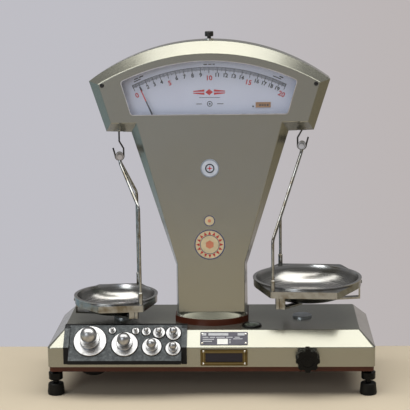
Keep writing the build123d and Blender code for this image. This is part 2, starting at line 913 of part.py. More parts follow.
def mechanism_frame():
    """Carries the beam's bearings and the pinion's, from the rear cover."""
    plate_back = frame_front + frame_thickness
    cover_front = housing_back - cover_thickness
    low = pointer_centre_z - frame_under_pinion
    high = pivot_z + frame_over_pivot
    middle = (low + high) / 2
    width = 2 * frame_post_x + 10
    outline = Pos(0, middle) * Rectangle(width, high - low)
    opening = Rectangle(width - 34, pivot_z - pointer_centre_z - 4 * frame_rail)
    frame = slab(outline - Pos(0, (pivot_z + pointer_centre_z) / 2) * opening, frame_front, plate_back)
    yoke_z = high - yoke_height
    frame += Pos(0, (frame_front - knife_reach) / 2, yoke_z) * Box(yoke_width, frame_front + knife_reach, yoke_height)
    window_width = yoke_width - 9
    for y_front, y_back in ((-knife_reach, yoke_leg - knife_reach), (knife_reach - yoke_leg, frame_front)):
        leg = Pos(0, (pivot_z + yoke_z) / 2) * Rectangle(yoke_width, yoke_z - pivot_z + 28)
        leg -= Pos(0, pivot_z + knife_height / 2 + 8) * Rectangle(window_width, knife_height + 22)
        groove = [(0, -knife_gap), (-20, 20 * 0.9), (20, 20 * 0.9)]
        leg -= Pos(0, pivot_z) * polygon(groove) & Pos(0, pivot_z + 5) * Rectangle(window_width, frame_rail)
        frame += slab(leg, y_front, y_back)
    bridge_front = pointer_y + 5
    bridge_back = -gear_width / 2 - 3
    bridge_y = bridge_back - 3
    frame += slab(Pos(0, pointer_centre_z) * Rectangle(2 * frame_post_x, frame_rail), bridge_back - 6, bridge_back)
    frame += slab(Pos(0, pointer_centre_z) * Circle(8), bridge_front, bridge_back)
    for side in (-1, 1):
        x = side * frame_post_x
        frame += rod(frame_post_radius, (x, bridge_y, pointer_centre_z), (x, frame_front + 1, pointer_centre_z))
        for z in (low + 8, high - 10):
            frame += rod(frame_post_radius, (x, plate_back - 1, z), (x, cover_front, z))
    bore_ends = ((0, bridge_front - 2, pointer_centre_z), (0, bridge_back + 2, pointer_centre_z))
    return frame - rod(arbor_radius + running_gap, *bore_ends)


# Hooks


def hook_top(side):
    """Where a hook's knife edge lies with the beam at rest."""
    tilt = radians(beam_rest)
    return side * beam_arm * cos(tilt), pivot_z - side * beam_arm * sin(tilt)


def hook(side):
    """A hanger over the beam's end knife, and the bent wire under it that holds the spool."""
    x, z = hook_top(side)
    inner = beam_thickness / 2 + 0.5
    outer = inner + hanger_plate
    plate = Pos(0, -hanger_drop / 2 + 3) * Rectangle(hanger_width, hanger_drop + 6)
    eye = polygon(
        [
            (0, knife_gap),
            (-5, -5.5),
            (-5, -end_knife_height - 2),
            (5, -end_knife_height - 2),
            (5, -5.5),
        ]
    )
    cheeks = slab(plate - eye, -outer, -inner) + slab(plate - eye, inner, outer)
    bar = Pos(0, 0, -hanger_drop + 1.5) * Box(hanger_width, 2 * outer, 3)
    drop = hook_drop
    tip_x, tip_z = hook_tip
    throat = hook_throat
    path = (
        Polyline(
            [
                (0, -hanger_drop + 1),
                (0, -drop + hook_bend_top),
                (-throat, -drop + hook_bend_height),
                (-throat, -drop),
            ]
        )
        + ThreePointArc((-throat, -drop), (0, -drop - throat), (throat, -drop))
        + Line((throat, -drop), (tip_x, -drop + tip_z))
    )
    line = Plane.XZ * path
    wire = sweep(Plane(origin=(0, 0, -hanger_drop + 1), z_dir=(0, 0, -1)) * Circle(hook_wire), path=line,
                 transition=Transition.ROUND)
    whole = cheeks + bar + wire
    if side < 0:
        whole = mirror(whole, Plane.YZ)
    return Pos(x, 0, z) * whole


# Pans: stirrup rods, carrier and dish, hanging from a spool in each hook


def pan_frame(pan):
    """The upright axis that a pan hangs on, turned as the pan hangs: its origin is the spool."""
    x, z = hook_top(pan["side"])
    return Pos(x, 0, z - hook_drop) * Rot(0, 0, pan["yaw"])


def pan_places(pan):
    """A pan's centre and lugs, across from the spool, with outward as the pan's own side."""
    centre = pan["side"] * pan["out"]
    lug = centre - pan["side"] * pan["inward"]
    spool_z = hook_top(pan["side"])[1] - hook_drop
    return centre, lug, pan["rim_z"] - spool_z


def hanging_spool(pan):
    groove = hook_throat - hook_wire - running_gap
    half = spool_groove_width / 2
    reach = eye_y - eye_width / 2
    end = eye_y + eye_width / 2 + 1.6
    spool = turned(
        [
            (0, -end),
            (3.6, -end),
            (3.6, -end + 1.6),
            (shank_radius, -end + 1.6),
            (shank_radius, -reach),
            (spool_flange, -reach),
            (spool_flange, -reach + 1.4),
            (groove, -half),
            (groove, half),
            (spool_flange, reach - 1.4),
            (spool_flange, reach),
            (shank_radius, reach),
            (shank_radius, end - 1.6),
            (3.6, end - 1.6),
            (3.6, end),
            (0, end),
        ]
    )
    return pan_frame(pan) * Rot(90, 0, 0) * spool


def stirrup_rod(pan, near):
    """One rod from the spool down to its lug, with the ferrule above the lug and the stub below."""
    centre, lug, rim = pan_places(pan)
    spool_z = hook_top(pan["side"])[1] - hook_drop
    y = -near * pan["lug_y"]
    eye = -near * eye_y
    hoop_top = rim - rim_thickness - seat_gap
    hoop_low = hoop_top - hoop_height
    kink = (lug, y, pan["kink_z"] - spool_z)
    ferrule_top = hoop_top + pan["ferrule"]
    path = FilletPolyline((0, eye, 0), (0, eye, -eye_drop), kink, (lug, y, ferrule_top - 2), radius=rod_bend)
    start = Plane(origin=(0, eye, 0), z_dir=(0, 0, -1))
    bar = sweep(start * Circle(rod_radius), path=path)
    bar += Pos(0, eye, 0) * Rot(90, 0, 0) * Cylinder(eye_radius, eye_width)
    bar -= Pos(0, eye, 0) * Rot(90, 0, 0) * Cylinder(shank_radius + running_gap, eye_width + 20)
    ferrule = turned(
        [
            (0, hoop_top),
            (ferrule_radius, hoop_top),
            (ferrule_radius, ferrule_top - 1),
            (rod_radius + 0.3, ferrule_top),
            (0, ferrule_top),
        ]
    )
    bar += Pos(lug, y, 0) * ferrule
    bar += rod(shank_radius, (lug, y, hoop_low), (lug, y, hoop_top + 1))
    return pan_frame(pan) * bar


def pan_carrier(pan):
    """A band round the dish with four corners, the two lugs among them, over a spider of three arms."""
    centre, lug, rim = pan_places(pan)
    hoop_top = rim - rim_thickness - seat_gap
    hoop_low = hoop_top - hoop_height
    outer_radius = pan["rim_radius"] - 0.8
    lugs = [(lug, y) for y in (-pan["lug_y"], pan["lug_y"])]
    plan = Pos(centre, 0) * Circle(outer_radius)
    for x, y in lugs + [(centre + pan["side"] * pan["corner"], y) for x, y in lugs]:
        plan += Pos(x, y) * Circle(lug_radius)
    hull = make_hull(plan.edges())
    band = extrude(Pos(0, 0, hoop_low) * (hull - offset(hull, -hoop_wall, kind=Kind.ARC)), hoop_height)
    wall_radius = pan["rim_radius"] - rim_width
    gussets = hull - Pos(centre, 0) * Circle(wall_radius + 2 * seat_gap)
    band += extrude(Pos(0, 0, hoop_top - gusset_thickness) * gussets, gusset_thickness)
    for x, y in lugs:
        band += rod(lug_radius, (x, y, hoop_low), (x, y, hoop_top))
    arm_low = rim - pan["depth"] - dish_wall - seat_gap - arm_thickness
    bend = pan["floor"] + arm_thickness
    toward = pan["side"]
    ends = [(centre + toward * (outer_radius - hoop_wall / 2), 0, pan["end_rise"])]
    for x, y in lugs:
        inside_wall = y - copysign(hoop_wall, y) + copysign(lug_radius, y)
        ends.append((x + toward * arm_offset, inside_wall, pan["lug_rise"]))
    spider = Pos(centre, 0, arm_low + arm_thickness / 2) * Cylinder(hub_radius, arm_thickness)
    for x, y, rise in ends:
        length = hypot(x - centre, y)
        profile = [
            (0, arm_low),
            (bend, arm_low),
            (length, arm_low + rise),
            (length, hoop_low + arm_thickness),
            (length - hoop_wall, hoop_low + arm_thickness),
            (length - hoop_wall, arm_low + rise + arm_thickness),
            (bend, arm_low + arm_thickness),
            (0, arm_low + arm_thickness),
        ]
        arm = slab(polygon(profile), -arm_width / 2, arm_width / 2)
        spider += Pos(centre, 0, 0) * Rot(0, 0, degrees(atan2(y, x - centre))) * arm
    inside = extrude(Pos(0, 0, arm_low) * hull, hoop_top - arm_low)
    carrier = band + (spider & inside)
    for x, y in lugs:
        pin_x = x + toward * pin_offset
        carrier += rod(pin_radius, (pin_x, y, arm_low + pan["lug_rise"]), (pin_x, y, hoop_low))
        carrier -= rod(shank_radius + running_gap, (x, y, arm_low - 1), (x, y, hoop_top + 1))
    end_x = centre + toward * (outer_radius - 0.5)
    carrier += rod(
        hoop_screw_radius,
        (end_x, 0, (hoop_low + hoop_top) / 2),
        (end_x + toward * hoop_screw_head, 0, (hoop_low + hoop_top) / 2),
    )
    return pan_frame(pan) * carrier


def dish(pan):
    """A shallow bowl of spun sheet with a flat floor, a curved wall and a flat rim."""
    centre, lug, rim = pan_places(pan)
    edge = pan["rim_radius"]
    wall_radius = edge - rim_width
    depth = pan["depth"]
    flat = pan["floor"]
    run = wall_radius - flat

    def bowl(radius_cut, low, high):
        """The bowl's section as an arc that leaves the floor level and reaches the wall's top."""
        reach = run - radius_cut
        drop = high - low
        bend = (reach**2 + drop**2) / (2 * drop)
        half = asin(min(1.0, reach / bend)) / 2
        middle = (flat + bend * sin(half), low + bend * (1 - cos(half)))
        return ThreePointArc((flat, low), middle, (flat + reach, high))

    low = rim - depth
    section = (
        Line((0, low - dish_wall), (flat, low - dish_wall))
        + bowl(0, low - dish_wall, rim - rim_thickness)
        + Polyline([(wall_radius, rim - rim_thickness), (edge, rim - rim_thickness), (edge, rim),
                    (wall_radius - dish_wall, rim)])
        + bowl(dish_wall, low, rim)
        + Line((flat, low), (0, low))
        + Line((0, low), (0, low - dish_wall))
    )
    return pan_frame(pan) * Pos(centre, 0, 0) * revolve(Plane.XZ * make_face(section), Axis.Z)


os.makedirs("parts", exist_ok=True)

save("base_casing", base_casing())
save("base_plate", base_plate())
save("weight_block", weight_block())
for weight in weight_set:
    save(f"weight_{weight[0]}", weight_piece(weight))
for end, y in (("front", -foot_y), ("rear", foot_y)):
    for hand, x in (("left", -foot_x), ("right", foot_x)):
        save(f"foot_screw_{end}_{hand}", foot_screw(x, y))
        save(f"foot_pad_{end}_{hand}", foot_pad(x, y))
save("arrest_knob", arrest_knob())
level_body, level_vial = spirit_level()
save("level_body", level_body)
save("level_vial", level_vial)
save("pan_stops", one([pan_stop(-beam_arm), pan_stop(beam_arm)]))
save("data_plate", data_plate())
frame_piece, insert_piece = seal_frame()
save("seal_frame", frame_piece)
save("seal_insert", insert_piece)
save("column_plinth", column_plinth())
save("housing", housing())
save("rear_cover", rear_cover())
save("window_trim", window_trim())
save("window_glass", window_glass())
save("dial_tray", dial_tray())
save("badge", badge())
save("decal", decal())
save("number_plate", number_plate())
save("fasteners", fasteners())
save("head_screws", head_screws())
save("top_screw", top_screw())
save("top_washer", top_washer())
save("beam", beam())
save("beam_knives", beam_knives())
save("sector_arm", sector_arm())
save("pendulum_bob", pendulum_bob())
save("pinion", pinion())
save("pointer", pointer())
save("mechanism_frame", mechanism_frame())
for hand, pan in pans.items():
    save(f"hook_{hand}", hook(pan["side"]))
    save(f"spool_{hand}", hanging_spool(pan))
    save(f"rod_{hand}_front", stirrup_rod(pan, 1))
    save(f"rod_{hand}_rear", stirrup_rod(pan, -1))
    save(f"carrier_{hand}", pan_carrier(pan))
    save(f"dish_{hand}", dish(pan))
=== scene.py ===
import json
from math import cos, radians, sin

import bmesh
import bpy
from mathutils import Matrix, Vector


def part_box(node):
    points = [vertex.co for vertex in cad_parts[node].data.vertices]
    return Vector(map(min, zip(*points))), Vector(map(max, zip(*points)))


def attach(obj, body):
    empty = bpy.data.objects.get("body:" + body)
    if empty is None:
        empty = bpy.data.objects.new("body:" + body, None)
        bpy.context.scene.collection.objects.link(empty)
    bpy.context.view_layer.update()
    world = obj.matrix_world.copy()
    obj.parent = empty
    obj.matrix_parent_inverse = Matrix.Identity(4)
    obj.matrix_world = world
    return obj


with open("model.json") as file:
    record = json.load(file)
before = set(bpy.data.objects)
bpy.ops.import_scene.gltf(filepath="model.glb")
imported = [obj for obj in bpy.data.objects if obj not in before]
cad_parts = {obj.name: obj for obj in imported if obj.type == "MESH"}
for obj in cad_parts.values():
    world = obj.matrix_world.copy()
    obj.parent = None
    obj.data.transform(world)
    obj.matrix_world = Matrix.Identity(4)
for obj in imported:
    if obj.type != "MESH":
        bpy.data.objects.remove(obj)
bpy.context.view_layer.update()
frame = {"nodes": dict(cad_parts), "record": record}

MM = 0.001

# Places of the Mix node's two colours among its inputs, and of its colour among its outputs
MIX_FIRST = 6
MIX_SECOND = 7
MIX_RESULT = 2


# Materials: each is a Principled shader whose colour, roughness and surface vary a little


class Paint:
    """A node material under construction."""

    def __init__(self, name, color, roughness, metallic=0.0):
        self.material = bpy.data.materials.new(name)
        self.material.use_nodes = True
        self.tree = self.material.node_tree
        self.shader = self.tree.nodes["Principled BSDF"]
        self.color = (*color, 1.0)
        self.roughness = roughness
        self.put("Base Color", self.color)
        self.put("Roughness", roughness)
        self.put("Metallic", metallic)

    def put(self, socket, value):
        self.shader.inputs[socket].default_value = value
        return self

    def node(self, kind, **settings):
        made = self.tree.nodes.new(kind)
        for key, value in settings.items():
            if key in made.inputs:
                made.inputs[key].default_value = value
            else:
                setattr(made, key, value)
        return made

    def link(self, source, target):
        self.tree.links.new(source, target)

    def place(self, stretch=(1, 1, 1)):
        """Object coordinates in metres, stretched along an axis for grain."""
        coordinates = self.node("ShaderNodeTexCoord")
        mapping = self.node("ShaderNodeMapping")
        mapping.inputs["Scale"].default_value = stretch
        self.link(coordinates.outputs["Object"], mapping.inputs["Vector"])
        return mapping.outputs["Vector"]

    def noise(self, scale, detail=4.0, rough=0.6, stretch=(1, 1, 1)):
        made = self.node("ShaderNodeTexNoise", Scale=scale, Detail=detail, Roughness=rough)
        self.link(self.place(stretch), made.inputs["Vector"])
        return made.outputs["Fac"]

    def ranged(self, source, low=0.0, high=1.0, start=0.3, end=0.7):
        """Maps start..end of the source to low..high, and holds it there beyond them."""
        made = self.node("ShaderNodeMapRange")
        made.inputs["From Min"].default_value = start
        made.inputs["From Max"].default_value = end
        made.inputs["To Min"].default_value = low
        made.inputs["To Max"].default_value = high
        self.link(source, made.inputs["Value"])
        return made.outputs["Result"]

    def product(self, first, second):
        made = self.node("ShaderNodeMath", operation="MULTIPLY")
        self.link(first, made.inputs[0])
        self.link(second, made.inputs[1])
        return made.outputs[0]

    def mixed(self, factor, first, second):
        """Blend of two colours, each a tuple or another node's output."""
        made = self.node("ShaderNodeMix", data_type="RGBA")
        self.link(factor, made.inputs["Factor"])
        for socket, value in ((MIX_FIRST, first), (MIX_SECOND, second)):
            if isinstance(value, tuple):
                made.inputs[socket].default_value = (*value[:3], 1.0)
            else:
                self.link(value, made.inputs[socket])
        return made.outputs[MIX_RESULT]

    def colored(self, source):
        self.link(source, self.shader.inputs["Base Color"])
        return self

    def mottle(self, other, scale, start=0.4, end=0.65, stretch=(1, 1, 1)):
        """Drifts between the base colour and another one, in soft patches."""
        factor = self.ranged(self.noise(scale, stretch=stretch), start=start, end=end)
        return self.colored(self.mixed(factor, self.color, other))

    def smudges(self, scale, spread, stretch=(1, 1, 1)):
        """Varies the gloss about its value, as handling does."""
        clouds = self.noise(scale, stretch=stretch)
        return self.gloss(self.ranged(clouds, self.roughness - spread, self.roughness + spread))

    def gloss(self, source):
        self.link(source, self.shader.inputs["Roughness"])
        return self

    def relief(self, height, strength, distance):
        bump = self.node("ShaderNodeBump", Strength=strength, Distance=distance)
        self.link(height, bump.inputs["Height"])
        self.link(bump.outputs["Normal"], self.shader.inputs["Normal"])
        return self

    def grain(self, scale, strength, distance=0.0002, stretch=(1, 1, 1)):
        return self.relief(self.noise(scale, stretch=stretch), strength, distance)


def champagne():
    """Metallic lacquer with a fine flake: dark where it faces the floor, bright where it faces up."""
    paint = Paint("champagne_metallic", (0.305, 0.305, 0.264), 0.235, 0.82)
    flakes = paint.node("ShaderNodeTexVoronoi", Scale=2400.0)
    paint.link(paint.place(), flakes.inputs["Vector"])
    patches = paint.ranged(paint.noise(7), start=0.38, end=0.64)
    drifted = paint.mixed(patches, paint.color, (0.300, 0.294, 0.244))
    sparkle = paint.ranged(flakes.outputs["Distance"], 0.0, 0.22, start=0.25, end=0.75)
    paint.colored(paint.mixed(sparkle, drifted, (0.350, 0.348, 0.302)))
    paint.smudges(24, 0.03).grain(380, 0.03, 0.00004)
    return paint.put("Coat Weight", 0.25).put("Coat Roughness", 0.10).material


def dark_red():
    paint = Paint("dark_red_enamel", (0.068, 0.014, 0.005), 0.34).put("Specular IOR Level", 0.28)
    return paint.mottle((0.050, 0.010, 0.004), 30).smudges(60, 0.06).grain(900, 0.06, 0.0001).material


def sloping_face(name):
    """Direction of a node's largest face that looks up and to the front, and how far out the face lies."""
    least_slope = 0.3
    faces = frame["nodes"][name].data.polygons
    sloping = [face for face in faces if face.normal.y < -least_slope and face.normal.z > least_slope]
    largest = max(sloping, key=lambda face: face.area)
    return largest.normal.copy(), largest.center.dot(largest.normal)


def crackle(outward, height):
    """Wrinkle finish on the sloping plate, in small irregular cells; black in the pockets and round it."""
    paint = Paint("charcoal_crackle", (0.048, 0.054, 0.058), 0.40, 0.35)
    black = (0.006, 0.006, 0.007)
    worn_grey = (0.105, 0.115, 0.120)
    coordinates = paint.node("ShaderNodeTexCoord")

    def along_outward(source):
        dot = paint.node("ShaderNodeVectorMath", operation="DOT_PRODUCT")
        dot.inputs[1].default_value = outward
        paint.link(source, dot.inputs[0])
        return dot.outputs["Value"]

    faces_out = paint.ranged(along_outward(coordinates.outputs["Normal"]), start=0.90, end=0.97)
    far_out = paint.ranged(
        along_outward(coordinates.outputs["Object"]), start=height - 0.5 * MM, end=height - 0.2 * MM
    )
    cells = paint.node("ShaderNodeTexVoronoi", Scale=620.0, feature="DISTANCE_TO_EDGE")
    paint.link(paint.place(), cells.inputs["Vector"])
    ridges = paint.ranged(cells.outputs["Distance"], start=0.0, end=0.45)
    wear = paint.ranged(paint.noise(160, 6, 0.75), start=0.46, end=0.64)
    plate = paint.mixed(wear, paint.color, worn_grey)
    paint.colored(paint.mixed(paint.product(faces_out, far_out), black, plate))
    paint.gloss(paint.ranged(paint.noise(300), 0.32, 0.50))
    return paint.put("Specular IOR Level", 0.3).relief(ridges, 0.55, 0.0003).material


def chrome():
    paint = Paint("polished_chrome", (0.70, 0.69, 0.67), 0.11, 1.0)
    paint.mottle((0.56, 0.54, 0.49), 46, 0.42, 0.62)
    return paint.smudges(60, 0.05).grain(420, 0.05, 0.00006).material


def spun(name, low, high):
    """Sheet spun on a lathe: rings of fine scratches round its axis draw the light out into fans.

    The wall is painted darker than the bowl's floor, as painted shade, and the lip is left bright."""
    paint = Paint(name, (0.56, 0.55, 0.54), 0.20, 1.0)
    cool_stain = (0.50, 0.52, 0.57)
    warm_stain = (0.58, 0.52, 0.50)
    # painted shade: the colour the dish's inner wall is darkened to
    painted_wall_shade = (0.26, 0.255, 0.24)
    ring_density = 900.0
    rim = (high.x - low.x) / 2
    rim_centre = ((low.x + high.x) / 2, (low.y + high.y) / 2, high.z)

    offset = paint.node("ShaderNodeVectorMath", operation="SUBTRACT")
    paint.link(paint.node("ShaderNodeTexCoord").outputs["Object"], offset.inputs[0])
    offset.inputs[1].default_value = rim_centre
    parts = paint.node("ShaderNodeSeparateXYZ")
    paint.link(offset.outputs[0], parts.inputs[0])
    flatten = paint.node("ShaderNodeVectorMath", operation="MULTIPLY")
    paint.link(offset.outputs[0], flatten.inputs[0])
    flatten.inputs[1].default_value = (1.0, 1.0, 0.0)
    radius = paint.node("ShaderNodeVectorMath", operation="LENGTH")
    paint.link(flatten.outputs[0], radius.inputs[0])

    spread = paint.node("ShaderNodeMath", operation="MULTIPLY")
    spread.inputs[1].default_value = ring_density
    paint.link(radius.outputs["Value"], spread.inputs[0])
    rings = paint.node("ShaderNodeTexNoise", Scale=1.0, Detail=3.0, noise_dimensions="1D")
    paint.link(spread.outputs[0], rings.inputs["W"])

    # Painted shade: the inner wall darkens from 0.62 to 0.95 of the rim's radius and fades out between 5 and
    # 1.5 mm below the rim, so the lip stays bright.
    wall = paint.ranged(radius.outputs["Value"], start=0.62 * rim, end=0.95 * rim)
    under_lip = paint.ranged(parts.outputs["Z"], 1.0, 0.0, start=-5 * MM, end=-1.5 * MM)
    warm = paint.ranged(paint.noise(26, 3, 0.6), start=0.42, end=0.62)
    worn = paint.ranged(paint.noise(41, 5, 0.7), start=0.46, end=0.66)
    bowl = paint.mixed(worn, paint.color, paint.mixed(warm, cool_stain, warm_stain))
    paint.colored(paint.mixed(paint.product(wall, under_lip), bowl, painted_wall_shade))
    paint.gloss(paint.ranged(rings.outputs["Fac"], 0.15, 0.29))
    paint.relief(rings.outputs["Fac"], 0.10, 0.00012)
    tangent = paint.node("ShaderNodeTangent", direction_type="RADIAL", axis="Z")
    paint.link(tangent.outputs["Tangent"], paint.shader.inputs["Tangent"])
    return paint.put("Anisotropic", 0.65).material


def old_plate():
    """Old bright plating, browned and dulled by handling."""
    paint = Paint("old_plating", (0.37, 0.38, 0.385), 0.20, 1.0)
    paint.mottle((0.20, 0.175, 0.135), 70, 0.42, 0.66)
    return paint.smudges(70, 0.06).grain(500, 0.05, 0.00006).material


def cast_nickel():
    """Satin plating on the turned weights, a little cloudy."""
    paint = Paint("satin_nickel", (0.50, 0.50, 0.51), 0.34, 1.0)
    paint.mottle((0.34, 0.34, 0.35), 120, 0.44, 0.66)
    return paint.smudges(160, 0.07).grain(1100, 0.10, 0.00006).material


def nickel():
    paint = Paint("nickel_plate", (0.72, 0.71, 0.68), 0.21, 1.0)
    paint.mottle((0.56, 0.53, 0.47), 95, 0.45, 0.68)
    return paint.smudges(120, 0.07).grain(1300, 0.08, 0.00005).material


def dark_steel():
    paint = Paint("blued_steel", (0.050, 0.048, 0.050), 0.30, 0.85)
    return paint.mottle((0.085, 0.078, 0.070), 160).smudges(200, 0.08).grain(1600, 0.10, 0.00005).material


def black_screw():
    paint = Paint("blackened_screw", (0.012, 0.012, 0.013), 0.34, 0.3)
    return paint.mottle((0.030, 0.028, 0.026), 500).smudges(500, 0.08).grain(1800, 0.10, 0.00004).material


def steel():
    paint = Paint("turned_steel", (0.46, 0.46, 0.47), 0.30, 1.0)
    return paint.mottle((0.38, 0.38, 0.40), 90).smudges(120, 0.06).grain(1400, 0.08, 0.00005).material


def brass():
    paint = Paint("machined_brass", (0.70, 0.50, 0.20), 0.28, 1.0)
    return paint.mottle((0.58, 0.40, 0.16), 60).smudges(120, 0.06).grain(1400, 0.08, 0.00005).material


def cast_grey():
    paint = Paint("grey_casting", (0.16, 0.16, 0.16), 0.6, 0.2)
    return paint.mottle((0.12, 0.12, 0.12), 60).smudges(60, 0.08).grain(500, 0.4, 0.0003).material


def dial_card():
    paint = Paint("dial_white", (0.58, 0.62, 0.78), 0.45)
    return paint.mottle((0.56, 0.59, 0.75), 14).smudges(40, 0.05).grain(1500, 0.04, 0.00004).material


def window_glass():
    tint = (0.90, 0.95, 0.96)
    paint = Paint("window_glass", tint, 0.03)
    paint.mottle(tuple(0.94 * part for part in tint), 30)
    return paint.put("Alpha", 0.035).material


def black_plastic():
    paint = Paint("black_plastic", (0.0020, 0.0020, 0.0024), 0.24).put("Specular IOR Level", 0.14)
    return paint.mottle((0.0045, 0.0042, 0.0038), 60).smudges(90, 0.07).grain(900, 0.10, 0.0001).material


def rubber():
    paint = Paint("black_rubber", (0.005, 0.005, 0.005), 0.50).put("Specular IOR Level", 0.16)
    return paint.mottle((0.010, 0.009, 0.007), 80).smudges(90, 0.08).grain(1100, 0.35, 0.0002).material


def enamel(name, color, roughness=0.3):
    """Flat print or enamel, a little uneven."""
    paint = Paint(name, color, roughness)
    other = tuple(0.86 * part for part in color)
    return paint.mottle(other, 120).smudges(150, 0.05).grain(1500, 0.05, 0.00004).material


def plate_metal(name, color, roughness, metallic):
    paint = Paint(name, color, roughness, metallic)
    other = tuple(0.72 * part for part in color)
    return paint.mottle(other, 110, stretch=(0.2, 1, 1)).smudges(160, 0.07).grain(900, 0.12, 0.00006).material


materials = {
    "champagne_paint": champagne(),
    "dark_red_paint": dark_red(),
    "black_crackle": crackle(*sloping_face("weight_block")),
    "chrome": chrome(),
    "nickel": nickel(),
    "dark_steel": dark_steel(),
    "black_screw": black_screw(),
    "steel": steel(),
    "brass": brass(),
    "dial_white": dial_card(),
    "window_glass": window_glass(),
    "level_glass": plate_metal("silvered_vial", (0.20, 0.23, 0.19), 0.16, 0.7),
    "black_plastic": black_plastic(),
    "pointer_paint": enamel("pointer_blue_black", (0.020, 0.020, 0.050)),
    "badge_enamel": enamel("badge_white", (0.58, 0.63, 0.74), 0.25),
    "decal_print": enamel("decal_cream", (0.66, 0.55, 0.36), 0.4),
    "printed_plate": plate_metal("printed_plate", (0.060, 0.058, 0.075), 0.38, 0.5),
    "copper_plate": plate_metal("copper_plate", (0.52, 0.30, 0.17), 0.36, 0.9),
    "rubber": rubber(),
    "cast_grey": cast_grey(),
}
red_ink = enamel("red_ink", (0.50, 0.020, 0.030))
black_ink = enamel("black_ink", (0.020, 0.022, 0.035))
white_ink = enamel("white_ink", (0.78, 0.78, 0.76))
blue_ink = enamel("blue_ink", (0.030, 0.050, 0.16))
salmon_ink = enamel("salmon_ink", (0.62, 0.22, 0.13))
grey_ink = enamel("grey_ink", (0.46, 0.47, 0.50))
slate_ink = enamel("slate_ink", (0.22, 0.26, 0.33))
gold_line = plate_metal("gold_line", (0.26, 0.21, 0.10), 0.32, 0.8)

own_materials = {
    "seal_frame": plate_metal("bronze_frame", (0.115, 0.080, 0.028), 0.34, 0.8),
    "seal_insert": plate_metal("dark_insert", (0.016, 0.013, 0.024), 0.36, 0.3),
    "top_screw": materials["black_screw"],
    "level_body": materials["black_plastic"],
    "pan_stops": plate_metal("stop_steel", (0.52, 0.56, 0.60), 0.34, 1.0),
}
plating = old_plate()
satin = cast_nickel()
for node_name in frame["nodes"]:
    if node_name.startswith(("rod_", "carrier_")):
        own_materials[node_name] = plating
    elif node_name.startswith("weight_") and node_name != "weight_block":
        own_materials[node_name] = satin
for hand in ("left", "right"):
    own_materials[f"dish_{hand}"] = spun(f"spun_dish_{hand}", *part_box(f"dish_{hand}"))


def dress(node, material):
    """Puts one material on the whole of a node."""
    if not node.material_slots:
        node.data.materials.append(material)
    for place in node.material_slots:
        place.material = material


for part in frame["record"]["subparts"]:
    slot_material = materials[part["material_slot"]]
    dress(frame["nodes"][part["node"]], own_materials.get(part["node"], slot_material))


# Flat work: marks and prints that lie on a face of the object


def lay_print(name, drawn, material, body):
    """Makes a piece of a drawn mesh, and lets it ride on a body."""
    data = bpy.data.meshes.new(name)
    drawn.to_mesh(data)
    drawn.free()
    data.materials.append(material)
    made = bpy.data.objects.new(name, data)
    bpy.context.scene.collection.objects.link(made)
    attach(made, body)


def sheet_mesh(name, faces, plane, material, body):
    """Thin print made of polygons drawn in a plane: plane maps (across, up) to a point."""
    drawn = bmesh.new()
    for points in faces:
        drawn.faces.new([drawn.verts.new(plane(*point)) for point in points])
    lay_print(name, drawn, material, body)


def upright(y):
    """A plane that faces the viewer at depth y."""
    return lambda x, z: Vector((x * MM, y, z * MM))


def ring_faces(centre, inner, outer, start=0.0, end=360.0, steps=48):
    """Quads of a ring or a stretch of it, or triangles of a disc; degrees go from up, clockwise."""
    made = []
    count = max(1, round(steps * (end - start) / 360))
    for k in range(count):
        first, last = (radians(start + (end - start) * (k + part) / count) for part in (0, 1))
        corners = [(outer, first), (outer, last)]
        corners += [(inner, last), (inner, first)] if inner > 0 else [(0.0, 0.0)]
        made.append([(centre[0] + r * sin(a), centre[1] + r * cos(a)) for r, a in corners])
    return made


def bar_faces(x0, z0, x1, z1):
    return [[(x0, z0), (x1, z0), (x1, z1), (x0, z1)]]


# The dial, in millimetres and degrees, about the pointer's centre

print_gap = 0.12 * MM
pointer_centre = (0.0, 211.2)
dial_radius = 246.6
dial_half_angle = 26.04
dial_bend = 2.03
dial_units = 20
dial_steps = 700
dial_line = 0.5
dial_relief = 1.5 * MM
dial_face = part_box("dial_tray")[1].y - dial_relief
fine_tick = (4.6, 0.52)
half_tick = (5.4, 0.62)
unit_tick = (8.6, 0.80)
black_radius = 235.6
red_radius = 231.0
black_size = 7.4
red_size = 9.4
number_weight = 0.26 * MM


def angle_of(value):
    """Where a value lies round the dial: the marks draw closer towards both ends."""
    share = 2 * value / dial_units - 1
    return (dial_half_angle + dial_bend) * share - dial_bend * share**3


def on_dial(radius, degrees_round):
    a = radians(degrees_round)
    return pointer_centre[0] + radius * sin(a), pointer_centre[1] + radius * cos(a)


def tick(value, length, width):
    """One mark from the dial's outer line inward."""
    a = radians(angle_of(value))
    across = (cos(a) * width / 2, -sin(a) * width / 2)
    outer = on_dial(dial_radius, angle_of(value))
    inner = on_dial(dial_radius - length, angle_of(value))
    return [
        (outer[0] - across[0], outer[1] - across[1]),
        (outer[0] + across[0], outer[1] + across[1]),
        (inner[0] + across[0], inner[1] + across[1]),
        (inner[0] - across[0], inner[1] - across[1]),
    ]


def dial_marks():
    black = []
    for step in range(dial_units * 10 + 1):
        if step % 10 == 0:
            length, width = unit_tick
        elif step % 5 == 0:
            length, width = half_tick
        else:
            length, width = fine_tick
        black.append(tick(step / 10, length, width))
    black += arc_bars(dial_radius, dial_line, ((-dial_half_angle, dial_half_angle),))
    sheet_mesh("dial_marks", black, upright(dial_face - print_gap), black_ink, "stand")


